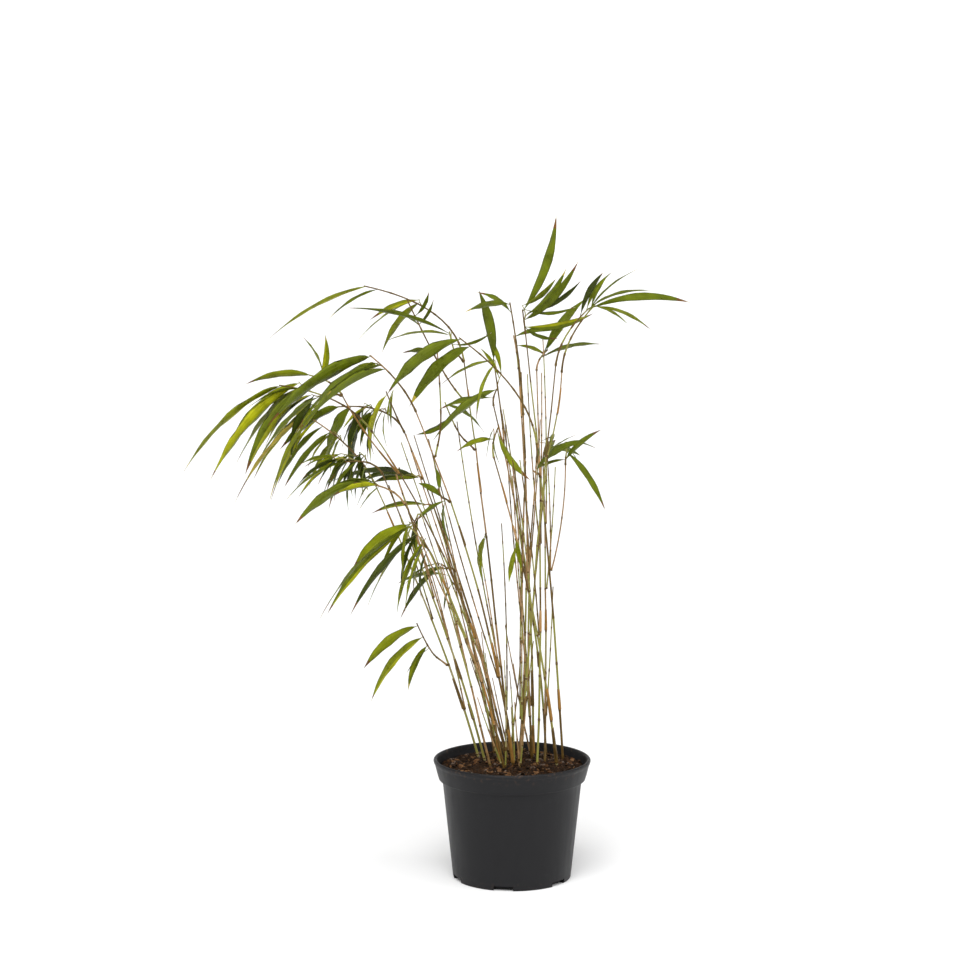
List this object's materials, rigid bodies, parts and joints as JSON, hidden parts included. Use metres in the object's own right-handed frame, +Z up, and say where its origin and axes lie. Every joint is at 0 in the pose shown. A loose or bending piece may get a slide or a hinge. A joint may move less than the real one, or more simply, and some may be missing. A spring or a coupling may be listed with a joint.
{
  "type": "potted bamboo",
  "caption": "Slender clumping bamboo in a round nursery pot: thin arching culms that lean to one side and carry sprays of long pointed leaves over bark-topped compost",
  "frame": {"origin": "centre of the pot's flat underside, on the surface that the pot stands on", "axes": "+Z up, -Y towards the front, +X to the right seen from the front; most of the clump leans towards -X"},
  "size_m": [0.5348, 0.3244, 0.7148],
  "materials": {
    "pot": "matte",
    "compost": "matte",
    "culm": "satin",
    "twig": "matte",
    "leaf": "satin"
  },
  "bodies": {
    "root": {"pot": "pot", "soil": "compost", "culm_01": "culm", "culm_02": "culm", "culm_03": "culm", "culm_04": "culm", "culm_05": "culm", "culm_06": "culm", "culm_07": "culm", "culm_08": "culm", "culm_09": "culm", "culm_10": "culm", "culm_11": "culm", "culm_12": "culm", "culm_13": "culm", "culm_14": "culm", "culm_15": "culm", "culm_16": "culm", "culm_17": "culm", "culm_18": "culm", "side_branch_1": "twig", "side_branch_2": "twig", "side_branch_3": "twig", "foliage_01": "leaf", "foliage_02": "leaf", "foliage_03": "leaf", "foliage_04": "leaf", "foliage_05": "leaf", "foliage_06": "leaf", "foliage_07": "leaf", "foliage_08": "leaf", "foliage_09": "leaf", "foliage_10": "leaf", "foliage_11": "leaf", "foliage_12": "leaf", "foliage_13": "leaf", "foliage_14": "leaf", "foliage_15": "leaf", "foliage_16": "leaf", "foliage_17": "leaf", "foliage_18": "leaf", "foliage_19": "leaf", "foliage_20": "leaf", "foliage_21": "leaf", "foliage_22": "leaf", "foliage_23": "leaf", "foliage_24": "leaf", "foliage_25": "leaf", "foliage_26": "leaf", "foliage_27": "leaf", "foliage_28": "leaf", "foliage_29": "leaf", "foliage_30": "leaf", "foliage_31": "leaf", "foliage_32": "leaf", "foliage_33": "leaf", "foliage_34": "leaf", "foliage_35": "leaf", "foliage_36": "leaf", "foliage_37": "leaf"}
  },
  "joints": []
}
